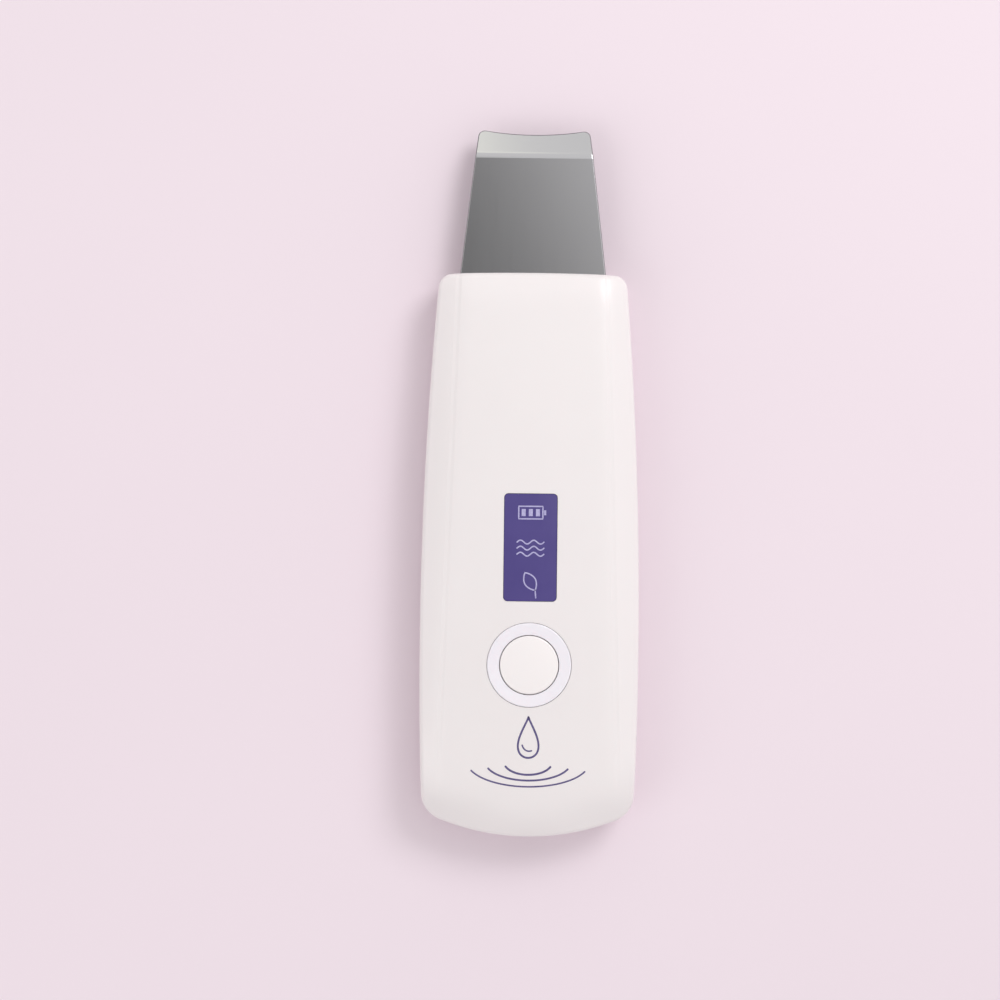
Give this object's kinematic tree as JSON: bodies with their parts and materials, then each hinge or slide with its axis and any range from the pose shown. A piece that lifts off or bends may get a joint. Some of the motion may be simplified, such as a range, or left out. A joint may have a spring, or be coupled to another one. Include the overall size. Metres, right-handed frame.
{
  "type": "skin scrubber",
  "caption": "Flat tapered handle with a thin bent spatula blade, a round push button in a ring, a dark display window and a charging socket at the end.",
  "frame": {"origin": "on the resting plane of the flat back, at the middle of the overall length and width", "axes": "+Y along the handle towards the blade tip, +Z out of the front face, +X to the right when the front is seen with the blade up"},
  "size_m": [0.0492, 0.16, 0.0172],
  "materials": {
    "blade_steel": "polished stainless steel",
    "board_green": "glass fibre board with green mask",
    "bond_epoxy": "cured epoxy",
    "button_white": "satin gloss white cap",
    "capacitor_tan": "ceramic capacitor bodies",
    "cell_foil": "laminated foil pouch",
    "chip_black": "moulded chip packages",
    "clamp_plastic": "glass filled nylon",
    "contact_gold": "gold flashed",
    "copper": "enamelled copper",
    "dome_metal": "spring steel disc",
    "ferrite": "sintered ferrite",
    "film_white": "diffusing film",
    "foam_grey": "closed cell foam tape",
    "lead_black": "PVC insulation",
    "lead_red": "PVC insulation",
    "lead_white": "PVC insulation",
    "led_clear": "clear lens over a yellow die",
    "leg_tin": "tinned copper",
    "pad_silicone": "matt silicone",
    "piezo_ceramic": "silvered piezo ceramic",
    "plate_steel": "brushed stainless steel",
    "plug_rubber": "matt white plugs",
    "plunger_plastic": "nylon plunger",
    "port_steel": "stamped and plated",
    "reflector_white": "opaque white",
    "resistor_black": "chip resistors",
    "ring_white": "translucent lavender white light ring",
    "screw_steel": "zinc plated",
    "seal_silicone": "matt grey silicone",
    "shell_white": "satin gloss, moulded ABS, warm white",
    "switch_metal": "stamped switch cover",
    "tongue_black": "glass filled plastic",
    "window_violet": "dark violet tinted acrylic"
  },
  "bodies": {
    "housing": {"back_shell": "shell_white", "battery_cell": "cell_foil", "battery_lead_black": "lead_black", "battery_lead_red": "lead_red", "battery_protection_board": "board_green", "battery_tape": "foam_grey", "blade_clamp": "clamp_plastic", "blade_pad_lower": "pad_silicone", "blade_pad_upper": "pad_silicone", "blade_seal": "seal_silicone", "board_capacitors": "capacitor_tan", "board_resistors": "resistor_black", "board_screws": "screw_steel", "boost_inductor": "ferrite", "button_ring": "ring_white", "charger_chip": "chip_black", "charger_legs": "leg_tin", "clamp_screws": "screw_steel", "contact_lead": "lead_white", "contact_plate": "plate_steel", "controller_chip": "chip_black", "controller_legs": "leg_tin", "display_film": "film_white", "display_leds": "led_clear", "display_light_box": "reflector_white", "display_window": "window_violet", "driver_transistors": "chip_black", "front_shell": "shell_white", "main_board": "board_green", "piezo_bond": "bond_epoxy", "piezo_disc": "piezo_ceramic", "ring_leds": "led_clear", "screw_plugs": "plug_rubber", "scrubber_blade": "blade_steel", "shell_screws": "screw_steel", "switch_base": "chip_black", "switch_cover": "switch_metal", "switch_dome": "dome_metal", "switch_legs": "leg_tin", "transducer_lead_black": "lead_black", "transducer_lead_red": "lead_red", "transformer_core": "ferrite", "transformer_winding": "copper", "usb_contacts": "contact_gold", "usb_shell": "port_steel", "usb_tongue": "tongue_black", "window_tape": "foam_grey"},
    "button": {"power_button": "button_white"},
    "plunger": {"switch_plunger": "plunger_plastic"}
  },
  "joints": [
    {"name": "button_press", "type": "slide", "parent": "housing", "child": "button", "axis": [0, 0, -1], "range_m": [0, 0.0003], "stiffness_N_per_m": 2000},
    {"name": "plunger_press", "type": "slide", "parent": "housing", "child": "plunger", "axis": [0, 0, -1], "range_m": [0, 0.0003], "deforming": ["switch_dome"]}
  ],
  "couplings": [
    {"joint": "plunger_press", "follows": "button_press", "ratio": 1}
  ]
}
